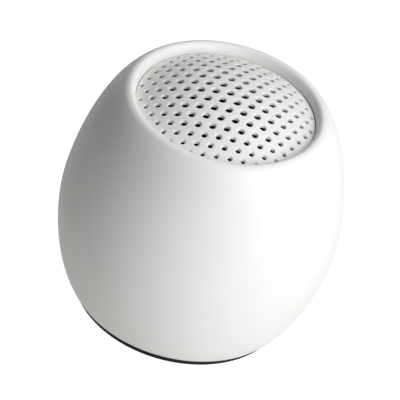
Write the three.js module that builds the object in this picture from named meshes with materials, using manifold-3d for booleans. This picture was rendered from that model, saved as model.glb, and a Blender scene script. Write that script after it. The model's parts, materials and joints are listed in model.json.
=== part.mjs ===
// Palm-sized wireless smart speaker: a rounded white shell, wide at the waist and narrower at the top,
// with a domed perforated grille set down inside its rim. A full-range driver faces up under the grille,
// and a battery, a main board and a charging-socket board stand below it on a screwed base.
// Millimetres, +Z up. Origin: centre of the underside, on the surface that the speaker stands on.

import * as THREE from 'three';
import { mergeVertices } from 'three/addons/utils/BufferGeometryUtils.js';
import Module from 'manifold-3d';

const wasm = await Module();
wasm.setup();

// ---------- driving dimensions ----------

const GAP = 0.3; // clearance between neighbouring pieces

const SHELL = {
  waistRadius: 28, waistZ: 22.5, // widest ring
  footRadius: 22.5, footZ: 1.95, // lower outer edge
  footSlope: 37, footReach: 5.4, waistReachDown: 7.6, // how the lower curve leaves and arrives
  waistReachUp: 6, rimReach: 7.5, // how the upper curve leaves and arrives
  rimRadius: 18.84, rimZ: 47.49, rimRound: 1.75, // outer rounding of the rim
  boreRadius: 17.7, boreRound: 1.1, // inner rounding of the rim
  wall: 2,
  ledgeBore: 15.9, ledgeBottom: 43.8, ledgeTop: 45.4, // shelf for the grille above and the driver below
};

const GRILLE = {
  radius: 17.4, thickness: 0.7,
  domeRadius: 38.5, apexZ: 51.5,
  pitch: 2.85, // hole spacing at the centre
  crowding: 0.091, crowdingRadius: 17.5, // holes draw closer together towards the edge
  holeCentre: 0.7, holeEdge: 0.42, // hole radius at the centre and in the outermost ring
  rings: 43, // largest squared lattice distance that still has a hole
};

const CLOTH = { thickness: 0.3, drop: 0.5 }; // drop: clear of the grille's flat facets

const FOOT = { radius: 21.6, topRadius: 22, thickness: 1.5, bore: 6.2, chamfer: 0.4 };
const BASE = {
  radius: 20.2, bottom: 1.8, top: 3.8, bore: 5.3,
  screwHole: 1, headHole: 1.9, headHoleTop: 2.9,
};
const BUTTON = {
  radius: 5, bottom: 0.7, chamfer: 0.4, // sits back from the surface that the foot stands on
  flangeRadius: 6.2, flangeTop: 4.8, stemRadius: 1.6, stemTop: 5.2,
};

const BASE_SCREW = { ringRadius: 18.2, headRadius: 1.6, headBottom: 1.9, headTop: 2.6, shank: 0.7, tip: 9.2 };
const SHELL_BOSS = {
  radius: 2, bottom: 4.1, top: 12, hole: 0.95, holeTop: 10,
  webThickness: 1.6, webLowRadius: 23, webHighRadius: 25.3, // the web's ends lie inside the wall
};

const BOARD = { radius: 15.8, bottom: 9, top: 10 };
const PILLAR = { // four of them carry the board and the cradle
  x: 12.7, y: 5.8, radius: 1.6, hole: 0.95, threadHole: 0.9, threadBottom: 5,
};
const SWITCH = {
  side: 6, bottom: 6.3, top: 8.7, bore: 1.9, boreTop: 8,
  plungerRadius: 1.6, plungerBottom: 5.6, plungerTop: 7.4,
};

const CRADLE = {
  floorBottom: 15, floorTop: 16.2, wallTop: 21, frontWallTop: 18, // the front wall is low, for the wires
  halfX: 10.9, halfY: 14.4, wall: 1, earRadius: 2,
};
const CRADLE_SCREW = { headRadius: 1.3, headBottom: 16.5, headTop: 17.4, shank: 0.65, tip: 5.4 };
const BATTERY = { halfX: 9.2, halfY: 13, bottom: 17.6, top: 23.6, corner: 1.6 };
const PAD = { halfX: 8, halfY: 11 };

const PORT = {
  width: 8.94, height: 3.26, z: 11.93, backY: 17.9, mouthY: 25.2, wall: 0.35,
  backWall: 1, tongueHalfX: 3.3, tongueBackY: 19.3, tongueFrontY: 24.4, tongueHalfZ: 0.35,
};
const PORT_BOARD = { halfX: 9.5, backY: 17, shoulderY: 21.3, tongueHalfX: 5, tongueY: 23, screwHole: 0.8 };
const PORT_SHELF = {
  innerX: 6.2, outerX: 9.6, backY: 17, frontY: 22.8, bottom: 7, hole: 0.7, holeBottom: 7.5,
};
const SIDE_HOLE_X = 6.9; // light pipe on one side of the socket, microphone on the other
const PORT_SCREW = { x: 8.2, y: 18.2, headRadius: 1.2, headHeight: 0.8, shank: 0.5, tip: 7.8 };

const DRIVER = {
  flangeRadius: 19.5, flangeBore: 16.1, flangeBottom: 41.4, flangeTop: 42.6,
  gasketBore: 16.3, gasketThickness: 0.6,
  screwRing: 18.1, screwHole: 0.95, screwHoleTop: 44.9,
};
const DRIVER_SCREW = { headRadius: 1.2, headBottom: 40.2, headTop: 41.1, shank: 0.65, tip: 44.6 };
const BASKET = {
  ringBore: 7, ringRadius: 13.8, ringBottom: 35.6, ringTop: 36.6, neckRadius: 16.7, wall: 0.2,
  windowRing: 14.5, windowDepth: 8, windowWidth: 9, windowHeight: 3.4, windowZ: 39.2,
};
const SURROUND = { rollRadius: 1.3, skin: 0.35 };
const CONE = { outer: 12.6, outerZ: 42.3, middle: 9.4, middleZ: 40.2, neck: 5.6, neckZ: 38.9, paper: 0.45 };
const COIL = { inner: 5.5, outer: 5.9, bottom: 32.6, top: 35.4 };
const FORMER = { inner: 5, outer: 5.3, top: 39 };
const SPIDER = { inner: 5.6, outer: 13, bottom: 37.6, thickness: 0.3, waveHeight: 0.5, steps: 6 };
const MAGNET = {
  outer: 13, bore: 7, bottom: 27.8, top: 32.7, plateBore: 6.2, plateTop: 35.3,
  poleRadius: 4.7, poleTop: 35, yokeRadius: 12.5, yokeBottom: 25.5, yokeTop: 27.5,
};
const TERMINALS = { x: 17.6, thickness: 0.8, halfY: 3.5, bottom: 38.4 };
const RIBBON = { halfWidth: 3, backY: 13.7, frontY: 16.9, low: 7.6, sagTo: 6.4, thickness: 0.3 };
const PIPE = { radius: 0.9, flangeRadius: 1.4, flangeY: 21.9, backY: 21.4, tipY: 24.9, hole: 1.2 };
const MICROPHONE = { radius: 1.6, backY: 19.7, frontY: 21, hole: 0.6 };
const MICROPHONE_BOOT = { backY: 21.3, frontY: 21.9, bore: 0.7 };
const WALL_CUT = { fromY: 20, toY: 30 }; // cuts through the back of the shell run from inside to outside it

// ---------- finishes ----------

const finish = (color, roughness, metalness = 0) => ({ color, roughness, metalness });
const WHITE_PLASTIC = finish(0xeceae6, 0.55);
const BLACK_RUBBER = finish(0x111415, 0.85);
const BLACK_PLASTIC = finish(0x1a1b1d, 0.5);
const BLACK_CLOTH = finish(0x0d0d0e, 0.95);
const STEEL = finish(0x9a9ca0, 0.3, 1);
const FERRITE = finish(0x2b2b2e, 0.6);
const COPPER = finish(0xb06a3a, 0.35, 1);
const PAPER = finish(0x1f1f21, 0.9);
const RESIN_CLOTH = finish(0xb08a4e, 0.9);
const BOARD_GREEN = finish(0x14472f, 0.45);
const CHIP = finish(0x18181a, 0.5);
const CLEAR = finish(0xe8eef0, 0.15);
const SILVER_POUCH = finish(0xb9bcc0, 0.35, 0.6);
const FOAM = finish(0x3a3b3d, 0.95);
const CREAM_PLASTIC = finish(0xe6e0cf, 0.5);
const RED_INSULATION = finish(0xa5181c, 0.5);
const BLACK_INSULATION = finish(0x141414, 0.5);

// ---------- solids ----------

// A closed three.js geometry becomes a solid that can be joined and cut.
function toSolid(geometry) {
  const bare = geometry.clone();
  bare.deleteAttribute('normal');
  bare.deleteAttribute('uv');
  const merged = mergeVertices(bare, 1e-4);
  const index = Array.from(merged.index.array);
  const kept = [];
  for (let i = 0; i < index.length; i += 3) {
    const [a, b, c] = index.slice(i, i + 3);
    if (a !== b && b !== c && c !== a) kept.push(a, b, c);
  }
  return new wasm.Manifold(new wasm.Mesh({
    numProp: 3,
    vertProperties: Float32Array.from(merged.attributes.position.array),
    triVerts: Uint32Array.from(kept),
  }));
}

const join = (first, ...others) => others.reduce((sum, solid) => sum.add(solid), first);
const cut = (first, ...others) => others.reduce((rest, solid) => rest.subtract(solid), first);

// Solid of revolution about Z. The outline is [radius, z] pairs in the order
// outer side upwards, then back down the inner side or along the axis.
function turned(outline, segments = 32) {
  const points = outline.map(([radius, z]) => new THREE.Vector2(radius, z));
  if (points[0].x > 0) points.push(points[0].clone());
  return toSolid(new THREE.LatheGeometry(points, segments).rotateX(Math.PI / 2));
}

const ring = (inner, outer, bottom, top, segments) =>
  turned([[inner, bottom], [outer, bottom], [outer, top], [inner, top]], segments);

const rod = (radius, bottom, top, x = 0, y = 0, segments = 16) => toSolid(
  new THREE.CylinderGeometry(radius, radius, top - bottom, segments)
    .rotateX(Math.PI / 2).translate(x, y, (bottom + top) / 2));

// The same, lying along Y.
const rodAlongY = (radius, backY, frontY, x, z, segments = 16) => toSolid(
  new THREE.CylinderGeometry(radius, radius, frontY - backY, segments)
    .translate(x, (backY + frontY) / 2, z));

const block = (x0, x1, y0, y1, z0, z1) => toSolid(
  new THREE.BoxGeometry(x1 - x0, y1 - y0, z1 - z0)
    .translate((x0 + x1) / 2, (y0 + y1) / 2, (z0 + z1) / 2));

// A flat outline in X and Y, raised from bottom to top.
const slab = (shape, bottom, top, curveSegments = 6) => toSolid(
  new THREE.ExtrudeGeometry(shape, { depth: top - bottom, bevelEnabled: false, curveSegments })
    .translate(0, 0, bottom));

function roundedRectangle(halfX, halfY, corner) {
  const shape = new THREE.Shape();
  shape.moveTo(halfX, -halfY + corner);
  shape.lineTo(halfX, halfY - corner);
  shape.absarc(halfX - corner, halfY - corner, corner, 0, Math.PI / 2);
  shape.lineTo(-halfX + corner, halfY);
  shape.absarc(-halfX + corner, halfY - corner, corner, Math.PI / 2, Math.PI);
  shape.lineTo(-halfX, -halfY + corner);
  shape.absarc(-halfX + corner, -halfY + corner, corner, Math.PI, 1.5 * Math.PI);
  shape.lineTo(halfX - corner, -halfY);
  shape.absarc(halfX - corner, -halfY + corner, corner, 1.5 * Math.PI, 2 * Math.PI);
  return shape;
}

// A flat-sided tube with round ends, lying along Y: the form of the charging socket.
const socketForm = (width, height, backY, frontY) => toSolid(
  new THREE.ExtrudeGeometry(roundedRectangle(width / 2, height / 2, height / 2 - 0.01),
    { depth: frontY - backY, bevelEnabled: false, curveSegments: 4 })
    .rotateX(Math.PI / 2).translate(0, frontY, PORT.z));

// Round wire along a smooth route.
function wire(route, radius) {
  const path = new THREE.CatmullRomCurve3(route.map((point) => new THREE.Vector3(...point)));
  const section = new THREE.Shape().absarc(0, 0, radius, 0, 2 * Math.PI);
  return toSolid(new THREE.ExtrudeGeometry(section, { extrudePath: path, steps: 16, curveSegments: 4 }));
}

// Screw standing on Z: a flat round head and a plain shank, which runs up or down to its tip.
function screw(x, y, { headRadius, headBottom, headTop, shank, tip }) {
  const insideHead = (headBottom + headTop) / 2;
  const [low, high] = [Math.min(insideHead, tip), Math.max(insideHead, tip)];
  return join(rod(headRadius, headBottom, headTop, x, y, 12), rod(shank, low, high, x, y, 8));
}

const degrees = (angle) => THREE.MathUtils.degToRad(angle);
const onRing = (radius, angle) => [radius * Math.cos(degrees(angle)), radius * Math.sin(degrees(angle))];
const DIAGONALS = [45, 135, 225, 315];

// ---------- scene graph ----------

const group = new THREE.Group();

function addPiece(name, solid, look) {
  const { vertProperties, triVerts } = solid.getMesh();
  const geometry = new THREE.BufferGeometry();
  geometry.setAttribute('position', new THREE.BufferAttribute(Float32Array.from(vertProperties), 3));
  geometry.setIndex(new THREE.BufferAttribute(Uint32Array.from(triVerts), 1));
  geometry.computeVertexNormals();
  const mesh = new THREE.Mesh(geometry, new THREE.MeshStandardMaterial(look));
  mesh.name = name;
  group.add(mesh);
}

// ---------- outer shell ----------

// Outer side from the lower edge up over the waist, then over the rim and down into the bore.
function shellOutside() {
  const side = new THREE.Path();
  const slope = degrees(SHELL.footSlope);
  side.moveTo(SHELL.footRadius, SHELL.footZ);
  side.bezierCurveTo(
    SHELL.footRadius + SHELL.footReach * Math.sin(slope), SHELL.footZ + SHELL.footReach * Math.cos(slope),
    SHELL.waistRadius, SHELL.waistZ - SHELL.waistReachDown,
    SHELL.waistRadius, SHELL.waistZ);
  const join45 = SHELL.rimRound * Math.SQRT1_2;
  const reach45 = SHELL.rimReach * Math.SQRT1_2;
  side.bezierCurveTo(
    SHELL.waistRadius, SHELL.waistZ + SHELL.waistReachUp,
    SHELL.rimRadius + join45 + reach45, SHELL.rimZ + join45 - reach45,
    SHELL.rimRadius + join45, SHELL.rimZ + join45);
  return side.getPoints(6).map((point) => [point.x, point.y]);
}

function arcPoints(centreR, centreZ, radius, from, to, steps) {
  const points = [];
  for (let i = 0; i <= steps; i += 1) {
    const [dr, dz] = onRing(radius, from + (to - from) * i / steps);
    points.push([centreR + dr, centreZ + dz]);
  }
  return points;
}

const outside = shellOutside();
const shellWallInside = outside
  .filter(([, z], k) => k % 2 === 0 && z < SHELL.ledgeBottom - 1)
  .map(([radius, z]) => [radius - SHELL.wall, z])
  .reverse();
const rimTop = SHELL.rimZ + SHELL.rimRound;
const ledgeOuter = 21.5; // where the wall's inner face meets the shelf

const shellRevolved = turned([
  ...outside,
  ...arcPoints(SHELL.rimRadius, SHELL.rimZ, SHELL.rimRound, 45, 90, 2).slice(1),
  ...arcPoints(SHELL.boreRadius + SHELL.boreRound, rimTop - SHELL.boreRound, SHELL.boreRound, 90, 180, 3),
  [SHELL.boreRadius, SHELL.ledgeTop],
  [SHELL.ledgeBore, SHELL.ledgeTop],
  [SHELL.ledgeBore, SHELL.ledgeBottom],
  [ledgeOuter, SHELL.ledgeBottom],
  ...shellWallInside,
], 44);

// Screw boss with a web that runs out into the wall, on the diagonal at the given angle.
function shellBoss(angle) {
  const [x, y] = onRing(BASE_SCREW.ringRadius, angle);
  const web = new THREE.Shape([
    new THREE.Vector2(BASE_SCREW.ringRadius, SHELL_BOSS.bottom),
    new THREE.Vector2(SHELL_BOSS.webLowRadius, SHELL_BOSS.bottom),
    new THREE.Vector2(SHELL_BOSS.webHighRadius, SHELL_BOSS.top),
    new THREE.Vector2(BASE_SCREW.ringRadius, SHELL_BOSS.top),
  ]);
  const { webThickness } = SHELL_BOSS;
  const webSolid = toSolid(new THREE.ExtrudeGeometry(web, { depth: webThickness, bevelEnabled: false })
    .translate(0, 0, -webThickness / 2).rotateX(Math.PI / 2).rotateZ(degrees(angle)));
  const post = join(rod(SHELL_BOSS.radius, SHELL_BOSS.bottom, SHELL_BOSS.top, x, y), webSolid);
  return cut(post, rod(SHELL_BOSS.hole, SHELL_BOSS.bottom - 1, SHELL_BOSS.holeTop, x, y, 8));
}

// Shelf under one end of the charging-socket board.
function portBracket(side) {
  const { innerX, outerX, backY, frontY, bottom, hole, holeBottom } = PORT_SHELF;
  const [x0, x1] = side > 0 ? [innerX, outerX] : [-outerX, -innerX];
  const shelf = block(x0, x1, backY, frontY, bottom, BOARD.bottom - GAP);
  return cut(shelf, rod(hole, holeBottom, BOARD.bottom + 1, side * PORT_SCREW.x, PORT_SCREW.y, 8));
}

const driverScrewHoles = DIAGONALS.map((angle) => rod(
  DRIVER.screwHole, SHELL.ledgeBottom - 1, DRIVER.screwHoleTop, ...onRing(DRIVER.screwRing, angle), 8));
const portClearance = socketForm(PORT.width + 2 * GAP, PORT.height + 2 * GAP, WALL_CUT.fromY, WALL_CUT.toY);
const pipeHole = rodAlongY(PIPE.hole, WALL_CUT.fromY, WALL_CUT.toY, SIDE_HOLE_X, PORT.z, 12);
const microphoneHole = rodAlongY(MICROPHONE.hole, WALL_CUT.fromY, WALL_CUT.toY, -SIDE_HOLE_X, PORT.z, 8);

addPiece('outer_shell', cut(
  join(shellRevolved, ...DIAGONALS.map(shellBoss), portBracket(1), portBracket(-1)),
  ...driverScrewHoles, portClearance, pipeHole, microphoneHole), WHITE_PLASTIC);

// ---------- grille ----------

const domeZ = (radius) =>
  GRILLE.apexZ - GRILLE.domeRadius + Math.sqrt(GRILLE.domeRadius ** 2 - radius ** 2);

// Neighbours of a lattice site, counter-clockwise from +X.
const NEIGHBOURS = [[1, 0], [0, 1], [-1, 1], [-1, 0], [0, -1], [1, -1]];
const HOLE_SIDES = NEIGHBOURS.length;

// Hole centres on a triangular lattice that crowds slightly towards the edge.
function holeSites() {
  const sites = [];
  for (let i = -8; i <= 8; i += 1) {
    for (let j = -8; j <= 8; j += 1) {
      const norm = i * i + i * j + j * j;
      if (norm > GRILLE.rings) continue;
      const flat = Math.sqrt(norm) * GRILLE.pitch;
      const scale = GRILLE.pitch * (1 - GRILLE.crowding * (flat / GRILLE.crowdingRadius) ** 2);
      const radius = THREE.MathUtils.lerp(GRILLE.holeCentre, GRILLE.holeEdge, norm / GRILLE.rings);
      sites.push({ i, j, x: (i + j / 2) * scale, y: j * Math.sin(Math.PI / 3) * scale, radius });
    }
  }
  return sites;
}

// Perforated dome of even thickness. Facing sides of neighbouring holes are bridged by two triangles,
// each three holes that meet by one, and the margin out to the round edge is filled in last.
function perforatedDome() {
  const corners = []; // flat [x, y] of every corner, first the holes', then the edge's
  const sites = new Map();
  for (const { i, j, x, y, radius } of holeSites()) {
    sites.set(`${i},${j}`, corners.length);
    for (let k = 0; k < HOLE_SIDES; k += 1) {
      const [dx, dy] = onRing(radius, 30 + 60 * k);
      corners.push([x + dx, y + dy]);
    }
  }
  const faces = [];
  const holeEdges = [];
  const corner = (first, k) => first + (k % HOLE_SIDES);
  for (const [key, first] of sites) {
    const [i, j] = key.split(',').map(Number);
    const next = NEIGHBOURS.map(([di, dj]) => sites.get(`${i + di},${j + dj}`));
    for (let k = 0; k < HOLE_SIDES; k += 1) holeEdges.push([corner(first, k), corner(first, k + 1)]);
    for (let k = 0; k < 3; k += 1) {
      if (next[k] === undefined) continue;
      const quad = [corner(first, k + 5), corner(next[k], k + 3), corner(next[k], k + 2), corner(first, k)];
      faces.push([quad[0], quad[1], quad[2]], [quad[0], quad[2], quad[3]]);
    }
    for (let k = 0; k < 2; k += 1) {
      if (next[k] === undefined || next[k + 1] === undefined) continue;
      faces.push([corner(first, k), corner(next[k], k + 2), corner(next[k + 1], k + 4)]);
    }
  }
  // The pattern's outline: sides of holes and bridges that no other one shares.
  const sides = new Map();
  for (const [a, b] of holeEdges) sides.set(`${a},${b}`, [a, b]);
  for (const [a, b, c] of faces) {
    for (const [p, q] of [[a, b], [b, c], [c, a]]) sides.set(`${p},${q}`, [p, q]);
  }
  const following = new Map();
  for (const [a, b] of sides.values()) {
    if (!sides.has(`${b},${a}`)) following.set(a, b);
  }
  const outline = [following.keys().next().value];
  while (following.get(outline.at(-1)) !== outline[0]) outline.push(following.get(outline.at(-1)));

  const edgeSegments = 60;
  const edge = [];
  for (let k = 0; k < edgeSegments; k += 1) {
    edge.push(corners.length);
    corners.push(onRing(GRILLE.radius, 360 * k / edgeSegments));
  }
  const flat = (list) => list.map((id) => new THREE.Vector2(...corners[id]));
  const inward = outline.toReversed();
  const margin = THREE.ShapeUtils.triangulateShape(flat(edge), [flat(inward)]);
  const marginIds = [...edge, ...inward];
  for (const [a, b, c] of margin) faces.push([marginIds[a], marginIds[b], marginIds[c]]);

  const positions = [];
  for (const drop of [0, GRILLE.thickness]) {
    for (const [x, y] of corners) positions.push(x, y, domeZ(Math.hypot(x, y)) - drop);
  }
  const under = corners.length;
  const triangles = [];
  for (const [a, b, c] of faces) triangles.push(a, b, c, under + c, under + b, under + a);
  const walls = [...holeEdges, ...edge.map((id, k) => [edge[(k + 1) % edgeSegments], id])];
  for (const [a, b] of walls) triangles.push(a, b, under + b, a, under + b, under + a);
  const geometry = new THREE.BufferGeometry();
  geometry.setAttribute('position', new THREE.Float32BufferAttribute(positions, 3));
  geometry.setIndex(triangles);
  return toSolid(geometry);
}

addPiece('grille', perforatedDome(), WHITE_PLASTIC);

// Dark acoustic cloth that lines the underside of the grille.
function liner(drop, thickness, radius, steps) {
  const upper = [];
  for (let k = 0; k <= steps; k += 1) {
    const at = radius * k / steps;
    upper.push([at, domeZ(at) - drop]);
  }
  const lower = upper.map(([at, z]) => [at, z - thickness]);
  return turned([...lower, ...upper.reverse()], 24);
}

addPiece('grille_cloth', liner(
  GRILLE.thickness + CLOTH.drop, CLOTH.thickness, GRILLE.radius, 4), BLACK_CLOTH);

// ---------- driver ----------

const basketBowl = turned([
  [BASKET.ringBore, BASKET.ringBottom], [BASKET.ringRadius, BASKET.ringBottom],
  [BASKET.neckRadius, DRIVER.flangeBottom], [DRIVER.flangeRadius, DRIVER.flangeBottom],
  [DRIVER.flangeRadius, DRIVER.flangeTop], [DRIVER.flangeBore, DRIVER.flangeTop],
  [DRIVER.flangeBore, DRIVER.flangeBottom + BASKET.wall], [BASKET.ringRadius - 1, BASKET.ringTop],
  [BASKET.ringBore, BASKET.ringTop],
], 28);
const basketWindow = (angle) => {
  const [x, y] = onRing(BASKET.windowRing, angle);
  return toSolid(new THREE.BoxGeometry(BASKET.windowDepth, BASKET.windowWidth, BASKET.windowHeight)
    .rotateZ(degrees(angle)).translate(x, y, BASKET.windowZ));
};
const gasketBottom = DRIVER.flangeTop + GAP;
const gasketTop = gasketBottom + DRIVER.gasketThickness;
const flangeHoles = DIAGONALS.map((angle) => rod(
  DRIVER.screwHole, DRIVER.flangeBottom - 1, gasketTop + 1, ...onRing(DRIVER.screwRing, angle), 8));
addPiece('driver_basket', cut(
  basketBowl, ...[0, 90, 180, 270].map(basketWindow), ...flangeHoles), BLACK_PLASTIC);

addPiece('driver_gasket', cut(
  ring(DRIVER.gasketBore, DRIVER.flangeRadius, gasketBottom, gasketTop, 28), ...flangeHoles), FOAM);

DIAGONALS.forEach((angle, k) => {
  addPiece(`driver_screw_${k + 1}`, screw(...onRing(DRIVER.screwRing, angle), DRIVER_SCREW), STEEL);
});

// Rubber half-roll between the cone and the flange.
const rollCentre = (CONE.outer + DRIVER.flangeBore) / 2;
const surroundUnder = CONE.outerZ - SURROUND.skin;
const rollInside = SURROUND.rollRadius - SURROUND.skin;
addPiece('driver_surround', turned([
  [CONE.outer + GAP, surroundUnder],
  [rollCentre - rollInside, surroundUnder],
  ...arcPoints(rollCentre, CONE.outerZ, rollInside, 180, 0, 3),
  [rollCentre + rollInside, surroundUnder],
  [DRIVER.flangeBore - GAP, surroundUnder],
  [DRIVER.flangeBore - GAP, CONE.outerZ],
  ...arcPoints(rollCentre, CONE.outerZ, SURROUND.rollRadius, 0, 180, 4),
  [CONE.outer + GAP, CONE.outerZ],
], 24), BLACK_RUBBER);

addPiece('driver_cone', turned([
  [CONE.neck, CONE.neckZ - CONE.paper], [CONE.middle, CONE.middleZ - CONE.paper],
  [CONE.outer, CONE.outerZ - CONE.paper], [CONE.outer, CONE.outerZ],
  [CONE.middle, CONE.middleZ], [CONE.neck, CONE.neckZ],
], 24), PAPER);

// Shallow paper dome over the voice coil.
addPiece('dust_cap', turned([
  [0, 40.8], [2.6, 40.4], [4.4, 39.3], [5, 39.3], [4.7, 40], [2.8, 40.9], [0, 41.3],
], 24), PAPER);

addPiece('voice_coil_former', ring(FORMER.inner, FORMER.outer, COIL.bottom, FORMER.top, 24), CREAM_PLASTIC);
addPiece('voice_coil', ring(COIL.inner, COIL.outer, COIL.bottom, COIL.top, 24), COPPER);

// Corrugated suspension that centres the voice coil.
const spiderLower = [];
const spiderUpper = [];
for (let k = 0; k <= SPIDER.steps; k += 1) {
  const radius = THREE.MathUtils.lerp(SPIDER.inner, SPIDER.outer, k / SPIDER.steps);
  const z = SPIDER.bottom + (k % 2) * SPIDER.waveHeight;
  spiderLower.push([radius, z]);
  spiderUpper.push([radius, z + SPIDER.thickness]);
}
addPiece('driver_spider', turned([...spiderLower, ...spiderUpper.reverse()], 24), RESIN_CLOTH);

addPiece('driver_top_plate', ring(
  MAGNET.plateBore, MAGNET.outer, MAGNET.top + GAP, MAGNET.plateTop, 24), STEEL);
addPiece('driver_magnet', ring(MAGNET.bore, MAGNET.outer, MAGNET.bottom, MAGNET.top, 24), FERRITE);
addPiece('driver_yoke', turned([
  [0, MAGNET.yokeBottom], [MAGNET.yokeRadius, MAGNET.yokeBottom], [MAGNET.yokeRadius, MAGNET.yokeTop],
  [MAGNET.poleRadius, MAGNET.yokeTop], [MAGNET.poleRadius, MAGNET.poleTop], [0, MAGNET.poleTop],
], 24), STEEL);
addPiece('driver_terminals', block(
  TERMINALS.x, TERMINALS.x + TERMINALS.thickness, -TERMINALS.halfY, TERMINALS.halfY,
  TERMINALS.bottom, DRIVER.flangeBottom - GAP), RESIN_CLOTH);

// ---------- base ----------

addPiece('rubber_foot', turned([
  [FOOT.bore, 0], [FOOT.radius - FOOT.chamfer, 0], [FOOT.radius, FOOT.chamfer],
  [FOOT.topRadius, FOOT.thickness],
  [FOOT.bore, FOOT.thickness],
], 44), BLACK_RUBBER);

const baseScrewPoints = DIAGONALS.map((angle) => onRing(BASE_SCREW.ringRadius, angle));
const pillarPoints = [[1, 1], [-1, 1], [-1, -1], [1, -1]].map(([sx, sy]) => [sx * PILLAR.x, sy * PILLAR.y]);
const pillarFoot = BOARD.bottom - GAP;

addPiece('base_plate', cut(
  join(
    ring(BASE.bore, BASE.radius, BASE.bottom, BASE.top, 36),
    ...pillarPoints.map(([x, y]) => rod(PILLAR.radius, BASE.top - 0.5, pillarFoot, x, y, 12))),
  ...baseScrewPoints.map(([x, y]) => rod(BASE.screwHole, BASE.bottom - 1, BASE.top + 1, x, y, 8)),
  ...baseScrewPoints.map(([x, y]) => rod(BASE.headHole, BASE.bottom - 1, BASE.headHoleTop, x, y, 12)),
  ...pillarPoints.map(([x, y]) => rod(PILLAR.threadHole, PILLAR.threadBottom, pillarFoot + 1, x, y, 8))),
BLACK_PLASTIC);

baseScrewPoints.forEach(([x, y], k) => {
  addPiece(`base_screw_${k + 1}`, screw(x, y, BASE_SCREW), STEEL);
});

const flangeBottom = BASE.top + GAP;
addPiece('power_button', turned([
  [0, BUTTON.bottom], [BUTTON.radius - BUTTON.chamfer, BUTTON.bottom],
  [BUTTON.radius, BUTTON.bottom + BUTTON.chamfer],
  [BUTTON.radius, flangeBottom], [BUTTON.flangeRadius, flangeBottom],
  [BUTTON.flangeRadius, BUTTON.flangeTop], [BUTTON.stemRadius, BUTTON.flangeTop],
  [BUTTON.stemRadius, BUTTON.stemTop], [0, BUTTON.stemTop],
], 24), BLACK_PLASTIC);

// ---------- main board ----------

addPiece('main_board', cut(
  rod(BOARD.radius, BOARD.bottom, BOARD.top, 0, 0, 36),
  ...pillarPoints.map(([x, y]) => rod(PILLAR.hole, BOARD.bottom - 1, BOARD.top + 1, x, y, 8))), BOARD_GREEN);

const half = SWITCH.side / 2;
addPiece('tact_switch', cut(
  block(-half, half, -half, half, SWITCH.bottom, SWITCH.top),
  rod(SWITCH.bore, SWITCH.bottom - 1, SWITCH.boreTop)), BLACK_PLASTIC);
addPiece('switch_plunger', rod(SWITCH.plungerRadius, SWITCH.plungerBottom, SWITCH.plungerTop), CREAM_PLASTIC);

const onBoard = BOARD.top + GAP;
const boxPieces = [
  ['bluetooth_chip', [-3, 3, -2, 4, onBoard, onBoard + 0.9], CHIP],
  ['amplifier_chip', [4.5, 8.5, -3.5, 0.5, onBoard, onBoard + 0.9], CHIP],
  ['power_inductor', [-9, -5, -4, 0, onBoard, onBoard + 2], CHIP],
  ['speaker_connector', [10, 14, -3, 3, onBoard, onBoard + 3], CREAM_PLASTIC],
  ['battery_connector', [-3, 3, -14.4, -10.6, onBoard, onBoard + 3], CREAM_PLASTIC],
  ['ribbon_socket_main', [-4, 4, 11, 13.4, 7.2, BOARD.bottom - GAP], CREAM_PLASTIC],
  ['ribbon_socket_port', [-4, 4, 17.2, 19.6, 7.2, BOARD.bottom - GAP], CREAM_PLASTIC],
  ['status_led', [6.1, 7.7, 20, 21, onBoard, onBoard + 2.4], CLEAR],
];
for (const [name, extent, look] of boxPieces) addPiece(name, block(...extent), look);
addPiece('bulk_capacitor', rod(2, onBoard, onBoard + 4, 0, -7, 16), SILVER_POUCH);

// Flat ribbon that sags a little between its two sockets.
const ribbonRise = new THREE.Shape();
const ribbonMiddle = (RIBBON.backY + RIBBON.frontY) / 2;
const ribbonHigh = RIBBON.low + RIBBON.thickness;
ribbonRise.moveTo(RIBBON.backY, RIBBON.low);
ribbonRise.quadraticCurveTo(ribbonMiddle, RIBBON.sagTo, RIBBON.frontY, RIBBON.low);
ribbonRise.lineTo(RIBBON.frontY, ribbonHigh);
ribbonRise.quadraticCurveTo(ribbonMiddle, RIBBON.sagTo + RIBBON.thickness, RIBBON.backY, ribbonHigh);
const ribbonSize = { depth: 2 * RIBBON.halfWidth, bevelEnabled: false, curveSegments: 6 };
addPiece('ribbon_cable', toSolid(
  new THREE.ExtrudeGeometry(ribbonRise, ribbonSize)
    .rotateX(Math.PI / 2).rotateZ(Math.PI / 2).translate(-RIBBON.halfWidth, 0, 0)), CREAM_PLASTIC);

// ---------- charging socket ----------

const portOutline = new THREE.Shape([
  [-PORT_BOARD.halfX, PORT_BOARD.backY], [PORT_BOARD.halfX, PORT_BOARD.backY],
  [PORT_BOARD.halfX, PORT_BOARD.shoulderY], [PORT_BOARD.tongueHalfX, PORT_BOARD.shoulderY],
  [PORT_BOARD.tongueHalfX, PORT_BOARD.tongueY], [-PORT_BOARD.tongueHalfX, PORT_BOARD.tongueY],
  [-PORT_BOARD.tongueHalfX, PORT_BOARD.shoulderY], [-PORT_BOARD.halfX, PORT_BOARD.shoulderY],
].map(([x, y]) => new THREE.Vector2(x, y)));
const portScrewPoints = [[PORT_SCREW.x, PORT_SCREW.y], [-PORT_SCREW.x, PORT_SCREW.y]];
addPiece('port_board', cut(
  slab(portOutline, BOARD.bottom, BOARD.top),
  ...portScrewPoints.map(([x, y]) => rod(PORT_BOARD.screwHole, BOARD.bottom - 1, BOARD.top + 1, x, y, 8))),
BOARD_GREEN);
const portScrewSize = { ...PORT_SCREW, headBottom: onBoard, headTop: onBoard + PORT_SCREW.headHeight };
portScrewPoints.forEach(([x, y], k) => {
  addPiece(`port_screw_${k + 1}`, screw(x, y, portScrewSize), STEEL);
});

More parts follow.
